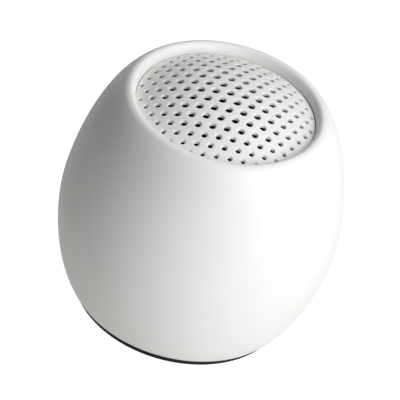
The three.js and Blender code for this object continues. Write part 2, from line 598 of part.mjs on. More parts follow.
const canInside = socketForm(
  PORT.width - 2 * PORT.wall, PORT.height - 2 * PORT.wall, PORT.backY + PORT.backWall, WALL_CUT.toY);
addPiece('port_shell', cut(socketForm(PORT.width, PORT.height, PORT.backY, PORT.mouthY), canInside), STEEL);
addPiece('port_tongue', block(
  -PORT.tongueHalfX, PORT.tongueHalfX, PORT.tongueBackY, PORT.tongueFrontY,
  PORT.z - PORT.tongueHalfZ, PORT.z + PORT.tongueHalfZ), CHIP);

addPiece('light_pipe', join(
  rodAlongY(PIPE.radius, PIPE.backY, PIPE.tipY, SIDE_HOLE_X, PORT.z, 12),
  rodAlongY(PIPE.flangeRadius, PIPE.backY, PIPE.flangeY, SIDE_HOLE_X, PORT.z, 12)), CLEAR);
addPiece('microphone', rodAlongY(
  MICROPHONE.radius, MICROPHONE.backY, MICROPHONE.frontY, -SIDE_HOLE_X, PORT.z), STEEL);
addPiece('microphone_boot', cut(
  rodAlongY(MICROPHONE.radius, MICROPHONE_BOOT.backY, MICROPHONE_BOOT.frontY, -SIDE_HOLE_X, PORT.z),
  rodAlongY(MICROPHONE_BOOT.bore, MICROPHONE.frontY, WALL_CUT.toY, -SIDE_HOLE_X, PORT.z, 8)), BLACK_RUBBER);

// ---------- battery ----------

const { halfX, halfY, wall, floorBottom, floorTop, wallTop, earRadius } = CRADLE;
const legBottom = BOARD.top + GAP;
addPiece('battery_cradle', cut(
  join(
    block(-halfX, halfX, -halfY, halfY, floorBottom, floorTop),
    block(halfX - wall, halfX, -halfY, halfY, floorBottom, wallTop),
    block(-halfX, wall - halfX, -halfY, halfY, floorBottom, wallTop),
    block(-halfX, halfX, halfY - wall, halfY, floorBottom, wallTop),
    block(-halfX, halfX, -halfY, wall - halfY, floorBottom, CRADLE.frontWallTop),
    ...pillarPoints.map(([x, y]) => rod(earRadius, floorBottom, floorTop, x, y, 12)),
    ...pillarPoints.map(([x, y]) => rod(PILLAR.radius, legBottom, floorBottom + 0.5, x, y, 12))),
  ...pillarPoints.map(([x, y]) => rod(PILLAR.hole, legBottom - 1, floorTop + 1, x, y, 8))), BLACK_PLASTIC);

pillarPoints.forEach(([x, y], k) => {
  addPiece(`cradle_screw_${k + 1}`, screw(x, y, CRADLE_SCREW), STEEL);
});

addPiece('battery_pad', block(
  -PAD.halfX, PAD.halfX, -PAD.halfY, PAD.halfY, floorTop + GAP, BATTERY.bottom - GAP), FOAM);
addPiece('battery', slab(
  roundedRectangle(BATTERY.halfX, BATTERY.halfY, BATTERY.corner), BATTERY.bottom, BATTERY.top), SILVER_POUCH);

// ---------- wires ----------

const wireRadius = 0.45;
const speakerRoute = (y) => [
  [18.9, y, 39.4], [20, y, 39], [20.9, y, 36.5], [22.2, y, 30], [22.4, y, 22], [20.6, y, 15.5],
  [17.6, y, 12.2], [14.5, y, 11.8],
];
const batteryRoute = (x) => [
  [x, -BATTERY.halfY - 0.5, 21], [x, -15.2, 20.8], [x, -17.2, 18.5], [x, -17.8, 15], [x, -16.8, 12.4],
  [x, -14.9, 11.8],
];
addPiece('speaker_wire_positive', wire(speakerRoute(1.4), wireRadius), RED_INSULATION);
addPiece('speaker_wire_negative', wire(speakerRoute(-1.4), wireRadius), BLACK_INSULATION);
addPiece('battery_wire_positive', wire(batteryRoute(1.4), wireRadius), RED_INSULATION);
addPiece('battery_wire_negative', wire(batteryRoute(-1.4), wireRadius), BLACK_INSULATION);

export default group;
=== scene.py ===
"""Looks of the palm-sized smart speaker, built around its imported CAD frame. Metres, +Z up."""

import json
import math

import bmesh
import bpy
import numpy as np
from mathutils import Matrix, Vector
from mathutils.geometry import delaunay_2d_cdt


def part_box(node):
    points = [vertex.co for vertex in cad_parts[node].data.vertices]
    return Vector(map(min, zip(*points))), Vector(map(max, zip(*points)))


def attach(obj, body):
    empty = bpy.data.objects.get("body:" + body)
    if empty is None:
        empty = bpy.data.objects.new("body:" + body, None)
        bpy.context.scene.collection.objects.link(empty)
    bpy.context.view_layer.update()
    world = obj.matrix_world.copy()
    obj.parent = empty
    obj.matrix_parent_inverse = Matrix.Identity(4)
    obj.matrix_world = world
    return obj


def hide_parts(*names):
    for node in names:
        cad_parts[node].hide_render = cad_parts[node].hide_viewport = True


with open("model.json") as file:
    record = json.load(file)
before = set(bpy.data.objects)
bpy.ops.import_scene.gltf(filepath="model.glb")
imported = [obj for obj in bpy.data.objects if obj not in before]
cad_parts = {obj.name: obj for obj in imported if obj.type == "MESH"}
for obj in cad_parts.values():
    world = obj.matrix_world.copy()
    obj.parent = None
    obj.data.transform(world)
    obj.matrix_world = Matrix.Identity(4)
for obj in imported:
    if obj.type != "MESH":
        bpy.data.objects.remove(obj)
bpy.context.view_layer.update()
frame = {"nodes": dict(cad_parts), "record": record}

MM = 0.001

# ---------- measures, from the frame and from the CAD design ----------

SHELL_LOW, SHELL_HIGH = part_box("outer_shell")
_, GRILLE_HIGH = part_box("grille")
FOOT_LOW, FOOT_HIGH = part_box("rubber_foot")
BUTTON_LOW, BUTTON_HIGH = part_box("power_button")
PORT_LOW, PORT_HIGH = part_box("port_shell")
TONGUE_LOW, TONGUE_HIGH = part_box("port_tongue")
PIPE_LOW, PIPE_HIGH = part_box("light_pipe")
CLOTH_LOW, CLOTH_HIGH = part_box("grille_cloth")

WAIST_RADIUS = SHELL_HIGH.x
WAIST_Z = 22.5 * MM
SHELL_FOOT_RADIUS = 22.5 * MM
SHELL_FOOT_Z = SHELL_LOW.z
RIM_Z = SHELL_HIGH.z
RIM_ROUND = 1.75 * MM
RIM_RADIUS = 18.84 * MM
BORE_RADIUS = 17.7 * MM
CREST_DROP = 1.9 * MM  # height over which the rim's crest rolls down into the bore
LEDGE_Z = 45.4 * MM
LEDGE_RADIUS = 15.9 * MM  # inner edge of the ledge that the grille rests on
LEDGE_THICKNESS = 1.6 * MM
CAVITY_DROP = 3 * MM  # how far below the ledge's top the cavity's wall ends
WALL = 2 * MM

GRILLE_GAP = 0.06 * MM
GRILLE_RADIUS = BORE_RADIUS - GRILLE_GAP
GRILLE_APEX_Z = GRILLE_HIGH.z
DOME_RADIUS = 38.5 * MM
PLATE = 0.65 * MM
HOLE_PITCH = 2.85 * MM
HOLE_CROWDING = 0.091
CROWDING_RADIUS = 17.5 * MM
HOLE_CENTRE_RADIUS = 0.74 * MM
HOLE_EDGE_RADIUS = 0.39 * MM
HOLE_ROUND = 0.22 * MM
HOLE_LARGEST_NORM = 43  # i * i + i * j + j * j of the lattice's outermost holes

# ---------- camera ----------

CAMERA_DISTANCE = 0.56
CAMERA_AZIMUTH = 6.1
CAMERA_ELEVATION = 38.6
CAMERA_ROLL = 14.5
CAMERA_LENS = 248.8
AIM_RIGHT = 4.26 * MM
AIM_UP = 18.49 * MM


def add_camera():
    azimuth, elevation, roll = (math.radians(v) for v in (CAMERA_AZIMUTH, CAMERA_ELEVATION, CAMERA_ROLL))
    forward = Vector((
        math.sin(azimuth) * math.cos(elevation),
        math.cos(azimuth) * math.cos(elevation),
        -math.sin(elevation),
    ))
    right_level = Vector((math.cos(azimuth), -math.sin(azimuth), 0))
    up_level = right_level.cross(forward)
    right = right_level * math.cos(roll) + up_level * math.sin(roll)
    up = right.cross(forward)
    data = bpy.data.cameras.new("camera")
    data.lens = CAMERA_LENS
    data.clip_start, data.clip_end = 0.01, 10
    camera = bpy.data.objects.new("camera", data)
    bpy.context.scene.collection.objects.link(camera)
    aim = right * AIM_RIGHT + up * AIM_UP
    turn = Matrix((right, up, -forward)).transposed().to_4x4()
    camera.matrix_world = Matrix.Translation(aim - forward * CAMERA_DISTANCE) @ turn
    bpy.context.scene.camera = camera


# ---------- materials ----------

class Finish:
    """A node material being put together: each helper returns the socket that carries its result."""

    def __init__(self, name):
        self.material = bpy.data.materials.new(name)
        self.material.use_nodes = True
        self.nodes = self.material.node_tree.nodes
        self.links = self.material.node_tree.links
        self.shader = self.nodes["Principled BSDF"]
        self.place = self.nodes.new("ShaderNodeTexCoord").outputs["Object"]

    def set(self, **values):
        for name, value in values.items():
            self.shader.inputs[name.replace("_", " ")].default_value = value

    def noise(self, size, detail=3.0, roughness=0.5, at=None):
        """Noise whose blobs are about size across, in metres."""
        node = self.nodes.new("ShaderNodeTexNoise")
        node.inputs["Scale"].default_value = 1 / size
        node.inputs["Detail"].default_value = detail
        node.inputs["Roughness"].default_value = roughness
        self.links.new(at or self.place, node.inputs["Vector"])
        return node.outputs["Fac"]

    def ramp(self, value, low, high, low_color, high_color):
        node = self.nodes.new("ShaderNodeValToRGB")
        first, last = node.color_ramp.elements
        first.position, last.position = low, high
        first.color, last.color = (*low_color, 1), (*high_color, 1)
        self.links.new(value, node.inputs["Fac"])
        return node.outputs["Color"]

    def scaled(self, value, low, high):
        """Maps 0..1 to low..high."""
        node = self.nodes.new("ShaderNodeMapRange")
        node.inputs["To Min"].default_value = low
        node.inputs["To Max"].default_value = high
        self.links.new(value, node.inputs["Value"])
        return node.outputs["Result"]

    def product(self, a, b):
        node = self.nodes.new("ShaderNodeMath")
        node.operation = "MULTIPLY"
        for socket, value in zip(node.inputs, (a, b)):
            self.links.new(value, socket)
        return node.outputs["Value"]

    def stretched(self, x=1.0, y=1.0, z=1.0):
        node = self.nodes.new("ShaderNodeMapping")
        node.inputs["Scale"].default_value = (x, y, z)
        self.links.new(self.place, node.inputs["Vector"])
        return node.outputs["Vector"]

    def color(self, socket):
        self.links.new(socket, self.shader.inputs["Base Color"])

    def roughness(self, socket):
        self.links.new(socket, self.shader.inputs["Roughness"])

    def bump(self, height, depth):
        """Raises the surface by depth metres where height is 1."""
        node = self.nodes.new("ShaderNodeBump")
        node.inputs["Distance"].default_value = depth
        node.inputs["Strength"].default_value = 1
        self.links.new(height, node.inputs["Height"])
        self.links.new(node.outputs["Normal"], self.shader.inputs["Normal"])


def moulded(name, dark, light, roughness, grain=0.12 * MM, grain_depth=0.004 * MM, subsurface=0.0):
    """Moulded plastic: a faint cloud in its colour, and the fine even grain of a textured mould."""
    finish = Finish(name)
    finish.set(IOR=1.48)
    if subsurface:
        finish.set(Subsurface_Weight=subsurface, Subsurface_Scale=1.2 * MM, Subsurface_Radius=(1.0, 0.8, 0.7))
    cloud = finish.noise(9 * MM, detail=2)
    finish.color(finish.ramp(cloud, 0.3, 0.7, dark, light))
    fine = finish.noise(grain, detail=2)
    finish.roughness(finish.scaled(fine, roughness - 0.05, roughness + 0.05))
    finish.bump(fine, grain_depth)
    return finish.material


def rubber(name, dark, light, roughness=0.7, gloss=0.5):
    finish = Finish(name)
    finish.set(IOR=1.5, Specular_IOR_Level=gloss)
    finish.color(finish.ramp(finish.noise(3 * MM), 0.35, 0.65, dark, light))
    fine = finish.noise(0.18 * MM, detail=4)
    finish.roughness(finish.scaled(fine, roughness - 0.08, roughness + 0.1))
    finish.bump(fine, 0.008 * MM)
    return finish.material


def metal(name, tint, roughness, brush=(1.0, 1.0, 14.0)):
    finish = Finish(name)
    finish.set(Metallic=1.0)
    lines = finish.noise(0.5 * MM, detail=3, at=finish.stretched(*brush))
    darker = tuple(0.82 * c for c in tint)
    finish.color(finish.ramp(lines, 0.3, 0.7, darker, tint))
    finish.roughness(finish.scaled(lines, roughness - 0.07, roughness + 0.1))
    finish.bump(lines, 0.003 * MM)
    return finish.material


WAVES_PER_UNIT = 3.18  # how often a wave texture of scale 1 repeats in one unit


def weave(name, dark, light, thread=0.35 * MM):
    """Plain weave: two crossed sets of ridges."""
    finish = Finish(name)
    waves = []
    for direction in ("X", "Y"):
        node = finish.nodes.new("ShaderNodeTexWave")
        node.bands_direction = direction
        node.inputs["Scale"].default_value = 1 / (thread * WAVES_PER_UNIT)
        finish.links.new(finish.place, node.inputs["Vector"])
        waves.append(node.outputs["Fac"])
    cross = finish.product(*waves)
    finish.set(Roughness=0.9)
    finish.color(finish.ramp(cross, 0.1, 0.8, dark, light))
    finish.bump(cross, 0.05 * MM)
    return finish.material


def circuit_board(name):
    """Green solder mask over a faint net of copper tracks."""
    finish = Finish(name)
    finish.set(IOR=1.5)
    cells = finish.nodes.new("ShaderNodeTexVoronoi")
    cells.feature = "DISTANCE_TO_EDGE"
    cells.inputs["Scale"].default_value = 1 / (2.2 * MM)
    finish.links.new(finish.place, cells.inputs["Vector"])
    tracks = finish.scaled(cells.outputs["Distance"], 1.0, 0.0)
    finish.color(finish.ramp(tracks, 0.88, 0.97, (0.010, 0.085, 0.040), (0.03, 0.17, 0.08)))
    finish.roughness(finish.scaled(tracks, 0.25, 0.45))
    finish.bump(tracks, 0.03 * MM)
    return finish.material


def foil(name):
    finish = Finish(name)
    finish.set(Metallic=0.85)
    creases = finish.noise(2.5 * MM, detail=5, roughness=0.65)
    finish.color(finish.ramp(creases, 0.3, 0.7, (0.45, 0.46, 0.48), (0.66, 0.67, 0.69)))
    finish.roughness(finish.scaled(creases, 0.25, 0.5))
    finish.bump(creases, 0.12 * MM)
    return finish.material


def foam(name):
    finish = Finish(name)
    cells = finish.nodes.new("ShaderNodeTexVoronoi")
    cells.inputs["Scale"].default_value = 1 / (0.4 * MM)
    finish.links.new(finish.place, cells.inputs["Vector"])
    depth = cells.outputs["Distance"]
    finish.set(Roughness=0.95)
    finish.color(finish.ramp(depth, 0.1, 0.7, (0.02, 0.02, 0.022), (0.09, 0.09, 0.095)))
    finish.bump(depth, 0.1 * MM)
    return finish.material


def frosted(name):
    """Frosted clear plastic of the light pipe and the indicator."""
    finish = Finish(name)
    finish.set(IOR=1.49, Transmission_Weight=0.7)
    haze = finish.noise(0.3 * MM)
    finish.color(finish.ramp(haze, 0.3, 0.7, (0.80, 0.84, 0.86), (0.92, 0.94, 0.95)))
    finish.roughness(finish.scaled(haze, 0.25, 0.45))
    finish.bump(haze, 0.01 * MM)
    return finish.material


WHITE = moulded("white_shell", (0.805, 0.799, 0.784), (0.82, 0.814, 0.80), 0.48, subsurface=0.06)
WHITE_GRILLE = moulded("white_grille", (0.79, 0.786, 0.772), (0.805, 0.801, 0.788), 0.5)
CLOTH = weave("black_mesh", (0.002, 0.002, 0.002), (0.012, 0.012, 0.013), thread=0.2 * MM)
FOOT_RUBBER = rubber("foot_rubber", (0.002, 0.007, 0.007), (0.005, 0.013, 0.013), 0.6, gloss=0.2)
CONTACT_GOLD = metal("contact_gold", (0.85, 0.62, 0.26), 0.25, brush=(1.0, 6.0, 1.0))
BUTTON_PLASTIC = moulded("button_plastic", (0.02, 0.022, 0.024), (0.035, 0.037, 0.04), 0.42)

BY_SLOT = {
    "shell_plastic": WHITE,
    "grille_plastic": WHITE_GRILLE,
    "acoustic_cloth": CLOTH,
    "foot_rubber": FOOT_RUBBER,
    "black_plastic": moulded("black_plastic", (0.018, 0.018, 0.02), (0.03, 0.03, 0.032), 0.45),
    "steel": metal("steel", (0.62, 0.62, 0.63), 0.3),
    "ferrite": moulded(
        "ferrite", (0.03, 0.03, 0.033), (0.06, 0.06, 0.065), 0.6, grain=0.4 * MM, grain_depth=0.02 * MM),
    "copper_winding": metal("copper_winding", (0.75, 0.36, 0.18), 0.3, brush=(1.0, 1.0, 12.0)),
    "cone_paper": weave("cone_paper", (0.012, 0.012, 0.013), (0.04, 0.04, 0.042), thread=0.6 * MM),
    "surround_rubber": rubber("surround_rubber", (0.010, 0.010, 0.010), (0.022, 0.022, 0.022)),
    "spider_cloth": weave("spider_cloth", (0.30, 0.20, 0.09), (0.60, 0.44, 0.22)),
    "board_laminate": circuit_board("board_laminate"),
    "chip_resin": moulded("chip_resin", (0.015, 0.015, 0.017), (0.03, 0.03, 0.032), 0.5),
    "cream_plastic": moulded("cream_plastic", (0.72, 0.68, 0.57), (0.78, 0.74, 0.64), 0.35),
    "clear_plastic": frosted("clear_plastic"),
    "foil_pouch": foil("foil_pouch"),
    "foam": foam("foam"),
    "wire_red": rubber("wire_red", (0.35, 0.012, 0.012), (0.48, 0.022, 0.02), 0.4),
    "wire_black": rubber("wire_black", (0.010, 0.010, 0.010), (0.022, 0.022, 0.022), 0.4),
}


def dress_cad_nodes():
    """Every CAD node that stays gets the procedural finish of its slot."""
    slot_of = {row["node"]: row["material_slot"] for row in frame["record"]["subparts"]}
    for node, obj in frame["nodes"].items():
        obj.data.materials.clear()
        obj.data.materials.append(BY_SLOT[slot_of[node]])


# ---------- mesh helpers ----------

ON_AXIS = 1e-9  # a radius below this is taken as a point on the axis


def new_piece(name, mesh, material, body, replaces=()):
    mesh.materials.append(material)
    piece = bpy.data.objects.new(name, mesh)
    bpy.context.scene.collection.objects.link(piece)
    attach(piece, body)
    if replaces:
        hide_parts(*replaces)
    return piece


def mesh_from(name, vertices, faces):
    """A mesh with smooth shading."""
    mesh = bpy.data.meshes.new(name)
    mesh.from_pydata([tuple(v) for v in vertices], [], faces)
    mesh.update()
    mesh.polygons.foreach_set("use_smooth", [True] * len(mesh.polygons))
    return mesh


def face_outwards(mesh):
    """Turns every face outwards, and drops vertices that no face uses."""
    work = bmesh.new()
    work.from_mesh(mesh)
    bmesh.ops.recalc_face_normals(work, faces=work.faces)
    bmesh.ops.delete(work, geom=[v for v in work.verts if not v.link_faces], context="VERTS")
    work.to_mesh(mesh)
    work.free()


def around(radius, count, centre_x=0.0, centre_y=0.0):
    """Points (x, y) evenly round a circle, anticlockwise from +X."""
    angles = [2 * math.pi * k / count for k in range(count)]
    return [(centre_x + radius * math.cos(a), centre_y + radius * math.sin(a)) for a in angles]


def quarter(steps):
    """Angles in radians of a quarter turn cut into equal steps, without the start."""
    return [math.radians(90 * k / steps) for k in range(1, steps + 1)]


def arc(centre_r, centre_z, radius, start, end, steps):
    """Points of an arc in the (radius, z) half-plane, angles in degrees from outwards, anticlockwise."""
    angles = np.radians(np.linspace(start, end, steps + 1))
    return [(centre_r + radius * math.cos(a), centre_z + radius * math.sin(a)) for a in angles]


def bezier(controls, steps):
    """Points of a cubic curve with four control points in the (radius, z) half-plane."""
    points = []
    for t in np.linspace(0, 1, steps + 1):
        weights = ((1 - t) ** 3, 3 * t * (1 - t) ** 2, 3 * t * t * (1 - t), t ** 3)
        points.append(tuple(sum(w * p[k] for w, p in zip(weights, controls)) for k in (0, 1)))
    return points


def lofted(name, rings):
    """A closed solid through rings of equally many points, capped at both ends."""
    count = len(rings[0])
    faces = []
    for first in range(0, (len(rings) - 1) * count, count):
        for k in range(count):
            n = (k + 1) % count
            faces.append((first + k, first + n, first + count + n, first + count + k))
    faces.append(tuple(range(count))[::-1])
    faces.append(tuple((len(rings) - 1) * count + k for k in range(count)))
    mesh = mesh_from(name, [v for ring in rings for v in ring], faces)
    face_outwards(mesh)
    return mesh


def revolve(outline, segments, closed=True):
    """Vertices and faces of an outline turned about Z. Points on the axis become one vertex."""
    vertices, rows = [], []
    for r, z in outline:
        if r < ON_AXIS:
            rows.append([len(vertices)] * segments)
            vertices.append((0, 0, z))
            continue
        rows.append(list(range(len(vertices), len(vertices) + segments)))
        vertices.extend((x, y, z) for x, y in around(r, segments))
    faces = []
    following = rows[1:] + rows[:1] if closed else rows[1:]
    for low, high in zip(rows, following):
        for k in range(segments):
            n = (k + 1) % segments
            ids = [low[k], low[n], high[n], high[k]]
            face = [v for i, v in enumerate(ids) if v != ids[i - 1]]
            if len(face) >= 3:
                faces.append(face)
    return vertices, faces


def turned(name, outline, segments, sharp_angle=40):
    """A turned solid with smooth shading, except over edges sharper than sharp_angle."""
    closed = outline[0][0] > ON_AXIS
    mesh = mesh_from(name, *revolve(outline, segments, closed))
    mesh.set_sharp_from_angle(angle=math.radians(sharp_angle))
    return mesh


# ---------- outer shell ----------

# the side curve's tangents: the lean of the one at the foot, and their lengths
FOOT_SLOPE = math.radians(37)
FOOT_REACH, WAIST_REACH_DOWN = 5.4 * MM, 7.6 * MM
WAIST_REACH_UP, RIM_REACH = 6 * MM, 7.5 * MM
RIM_CENTRE_Z = RIM_Z - RIM_ROUND
EDGE_ROUND = 0.35 * MM
SMALL_EDGE_ROUND = 0.15 * MM
SLOT_PLAY = 0.6 * MM  # how much wider and higher the slot is than the socket in it
PIPE_HOLE, MIC_HOLE = 1 * MM, 0.5 * MM
CUTTER_DEPTH, CUTTER_PROUD = 4 * MM, 3 * MM
CUTTER_SPREAD = 1.5  # how far outside the hole a cutter's outer end is, in roundings


def side_curve(steps):
    """The outer side from the lower edge up over the waist to the rim's outer rounding."""
    foot = (SHELL_FOOT_RADIUS, SHELL_FOOT_Z)
    waist = (WAIST_RADIUS, WAIST_Z)
    foot_pull = (foot[0] + FOOT_REACH * math.sin(FOOT_SLOPE), foot[1] + FOOT_REACH * math.cos(FOOT_SLOPE))
    lower = bezier((foot, foot_pull, (waist[0], waist[1] - WAIST_REACH_DOWN), waist), steps)
    diagonal = math.sqrt(0.5)
    rim = (RIM_RADIUS + RIM_ROUND * diagonal, RIM_CENTRE_Z + RIM_ROUND * diagonal)
    rim_pull = (rim[0] + RIM_REACH * diagonal, rim[1] - RIM_REACH * diagonal)
    upper = bezier((waist, (waist[0], waist[1] + WAIST_REACH_UP), rim_pull, rim), steps)
    return lower + upper[1:]


def shell_outline():
    rim = arc(RIM_RADIUS, RIM_CENTRE_Z, RIM_ROUND, 45, 90, 8)[1:]
    bore = [
        (RIM_RADIUS - (RIM_RADIUS - BORE_RADIUS) * math.sin(turn), RIM_Z - CREST_DROP * (1 - math.cos(turn)))
        for turn in quarter(14)]
    ledge_bottom = LEDGE_Z - LEDGE_THICKNESS
    inside = [(r - WALL, z) for r, z in side_curve(10) if z < LEDGE_Z - CAVITY_DROP]
    ledge = [(BORE_RADIUS, LEDGE_Z), (LEDGE_RADIUS, LEDGE_Z), (LEDGE_RADIUS, ledge_bottom)]
    return side_curve(36) + rim + bore + ledge + [(inside[-1][0], ledge_bottom)] + inside[::-1]


def side_radius(z):
    """Outer radius of the shell at height z."""
    points = np.array(side_curve(200))
    return float(np.interp(z, points[:, 1], points[:, 0]))


def side_y(x, z):
    """Y of the shell's outer surface at the back, over (x, z)."""
    return math.sqrt(side_radius(z) ** 2 - x * x)


def flared_cutter(name, outline, flare):
    """A cutter for a hole through the shell's back, whose mouth is rounded by flare along the curved surface.

    outline is a closed ring of (x, z, nx, nz), where (nx, nz) points away from the hole.
    """
    rings = [[
        (x + CUTTER_SPREAD * nx * flare, side_y(x, z) + CUTTER_PROUD, z + CUTTER_SPREAD * nz * flare)
        for x, z, nx, nz in outline]]
    for a in [0.0] + quarter(5):
        spread, sunk = flare * (1 - math.sin(a)), flare * (1 - math.cos(a))
        rings.append([(x + nx * spread, side_y(x, z) - sunk, z + nz * spread) for x, z, nx, nz in outline])
    rings.append([(x, side_y(x, z) - CUTTER_DEPTH, z) for x, z, _, _ in outline])
    return lofted(name, rings)


def stadium(width, height, centre_x, centre_z, steps=14):
    """Ring of (x, z, nx, nz) round a slot with round ends."""
    ring, radius = [], height / 2
    for side in (1, -1):
        middle = centre_x + side * (width / 2 - radius)
        for k in range(steps + 1):
            a = math.radians(-90 + 180 * k / steps) + (0 if side > 0 else math.pi)
            nx, nz = math.cos(a), math.sin(a)
            ring.append((middle + radius * nx, centre_z + radius * nz, nx, nz))
    return ring


def circle(radius, centre_x, centre_z):
    """Ring of (x, z, nx, nz) round a round hole."""
    return [(centre_x + radius * nx, centre_z + radius * nz, nx, nz) for nx, nz in around(1, 24)]


def cut_away(target, cutters):
    """Cuts each of the cutter meshes out of the target, in turn."""
    for mesh in cutters:
        cutter = bpy.data.objects.new(mesh.name, mesh)
        bpy.context.scene.collection.objects.link(cutter)
        modifier = target.modifiers.new("cut", "BOOLEAN")
        modifier.operation, modifier.solver, modifier.object = "DIFFERENCE", "EXACT", cutter
        depsgraph = bpy.context.evaluated_depsgraph_get()
        result = bpy.data.meshes.new_from_object(target.evaluated_get(depsgraph))
        target.modifiers.clear()
        target.data = result
        bpy.data.objects.remove(cutter)


def build_shell():
    mesh = turned("shell", shell_outline(), 192)
    piece = new_piece("shell", mesh, WHITE, "chassis", ["outer_shell"])
    hole_z = (PORT_LOW.z + PORT_HIGH.z) / 2
    slot_width = PORT_HIGH.x - PORT_LOW.x + SLOT_PLAY
    slot_height = PORT_HIGH.z - PORT_LOW.z + SLOT_PLAY
    pipe_x = (PIPE_LOW.x + PIPE_HIGH.x) / 2
    cut_away(piece, [
        flared_cutter("port_cut", stadium(slot_width, slot_height, 0, hole_z), EDGE_ROUND),
        flared_cutter("pipe_cut", circle(PIPE_HOLE, pipe_x, hole_z), SMALL_EDGE_ROUND),
        flared_cutter("mic_cut", circle(MIC_HOLE, -pipe_x, hole_z), SMALL_EDGE_ROUND),
    ])
    piece.data.set_sharp_from_angle(angle=math.radians(40))


# ---------- grille ----------

HOLE_SIDES, GRILLE_SIDES = 28, 240
GRILLE_EDGE_ROUND = 0.3 * MM
GRILLE_EDGE_FALL = 0.42  # how much the dome's slope lowers its rounded edge, per unit outwards
MOUTH_MARGIN = 0.05 * MM  # kept between a hole's mouth and the rounded edge
FILL_PER_PITCH = 5
FILL_FROM_HOLE, FILL_FROM_EDGE = 0.12 * MM, 0.25 * MM
HOLE_FOOT = 0.02 * MM  # height of the short flare where a hole meets the underside
CLOTH_RINGS, CLOTH_SIDES = 24, 120


def dome_z(radius):
    return GRILLE_APEX_Z - DOME_RADIUS + math.sqrt(DOME_RADIUS ** 2 - radius ** 2)


def draped(points, depth):
    """Flat points lowered onto the dome, depth below its top face."""
    return [(x, y, dome_z(math.hypot(x, y)) - depth) for x, y in points]


def holes():
    """(x, y, radius) of each hole: a triangular lattice that crowds a little towards the edge."""
    found = []
    furthest = math.isqrt(4 * HOLE_LARGEST_NORM // 3)
    for i in range(-furthest, furthest + 1):
        for j in range(-furthest, furthest + 1):
            norm = i * i + i * j + j * j
            if norm > HOLE_LARGEST_NORM:
                continue
            flat = math.sqrt(norm) * HOLE_PITCH
            scale = HOLE_PITCH * (1 - HOLE_CROWDING * (flat / CROWDING_RADIUS) ** 2)
            share = norm / HOLE_LARGEST_NORM
            radius = HOLE_CENTRE_RADIUS * (1 - share) + HOLE_EDGE_RADIUS * share
            found.append(((i + j / 2) * scale, j * math.sqrt(0.75) * scale, radius))
    return found


def mouth_distance(mouths, x, y):
    """Distance from (x, y) to the nearest mouth, negative inside one. mouths holds rows of (x, y, radius)."""
    return np.min(np.hypot(mouths[:, 0] - x, mouths[:, 1] - y) - mouths[:, 2])


def fill_points(mouths, flat_radius):
    """Points between the holes, which keep the triangles even."""
    found = []
    step = HOLE_PITCH / FILL_PER_PITCH
    reach = int(flat_radius / step) + 1
    for i in range(-reach, reach + 1):
        for j in range(-reach, reach + 1):
            x, y = (i + (j % 2) / 2) * step, j * step * math.sqrt(0.75)
            if math.hypot(x, y) > flat_radius - FILL_FROM_EDGE:
                continue
            if mouth_distance(mouths, x, y) > FILL_FROM_HOLE:
                found.append((x, y))
    return found


def perforated_disc(mouths, flat_radius):
    """Points and triangles of a flat disc that leaves the mouths open.

    Its points begin with the ring of each mouth, in their order, and then the disc's own edge.
    """
    points, edges = [], []
    rings = [around(wide, HOLE_SIDES, x, y) for x, y, wide in mouths] + [around(flat_radius, GRILLE_SIDES)]
    for ring in rings:
        first, size = len(points), len(ring)
        points.extend(ring)
        edges.extend((first + k, first + (k + 1) % size) for k in range(size))
    points.extend(fill_points(mouths, flat_radius))
    points, _, triangles, *_ = delaunay_2d_cdt([Vector(p) for p in points], edges, [], 0, 1e-9)
    faces = []
    for face in triangles:
        middle = sum((points[k] for k in face), Vector((0, 0))) / len(face)
        if middle.length < flat_radius and mouth_distance(mouths, *middle) >= 0:
            faces.append(list(face))
    return points, faces


def build_grille():
    """One moulded dome: a perforated sheet above and below, joined by the walls of the holes and the edge."""
    sites = holes()
    flat_radius = GRILLE_RADIUS - GRILLE_EDGE_ROUND
    furthest = flat_radius - MOUTH_MARGIN
    mouths = np.array([(x, y, min(r + HOLE_ROUND, furthest - math.hypot(x, y))) for x, y, r in sites])
    disc, faces = perforated_disc(mouths, flat_radius)
    count = len(disc)
    vertices = draped(disc, 0) + draped(disc, PLATE)
    solid = faces + [[k + count for k in face][::-1] for face in faces]

    def add_ring(points):
        vertices.extend(points)
        return list(range(len(vertices) - len(points), len(vertices)))

    def bridge(rings):
        size = len(rings[0])
        for low, high in zip(rings, rings[1:]):
            for k in range(size):
                n = (k + 1) % size
                solid.append([low[k], high[k], high[n], low[n]])

    for site, ((x, y, radius), wide) in enumerate(zip(sites, mouths[:, 2])):
        top = list(range(site * HOLE_SIDES, (site + 1) * HOLE_SIDES))
        rings = [top]
        for a in quarter(5):
            rolled = radius + (wide - radius) * (1 - math.sin(a))
            sunk = HOLE_ROUND * (1 - math.cos(a))
            rings.append(add_ring(draped(around(rolled, HOLE_SIDES, x, y), sunk)))
        rings.append(add_ring(draped(around(radius, HOLE_SIDES, x, y), PLATE - HOLE_FOOT)))
        rings.append([k + count for k in top])
        bridge(rings)

    # the round edge rolls over, then slopes back in to the underside
    edge_first = len(sites) * HOLE_SIDES
    edge = list(range(edge_first, edge_first + GRILLE_SIDES))
    rings = [edge]
    for a in quarter(6):
        fall = 1 - math.cos(a) + GRILLE_EDGE_FALL * math.sin(a)
        z = dome_z(flat_radius) - GRILLE_EDGE_ROUND * fall
        ring = around(flat_radius + GRILLE_EDGE_ROUND * math.sin(a), GRILLE_SIDES)
        rings.append(add_ring([(x, y, z) for x, y in ring]))
    rings.append([k + count for k in edge])
    bridge([ring[::-1] for ring in rings])

    mesh = mesh_from("grille_dome", vertices, solid)
    face_outwards(mesh)
    mesh.set_sharp_from_angle(angle=math.radians(50))
    new_piece("grille_dome", mesh, WHITE_GRILLE, "chassis", ["grille"])


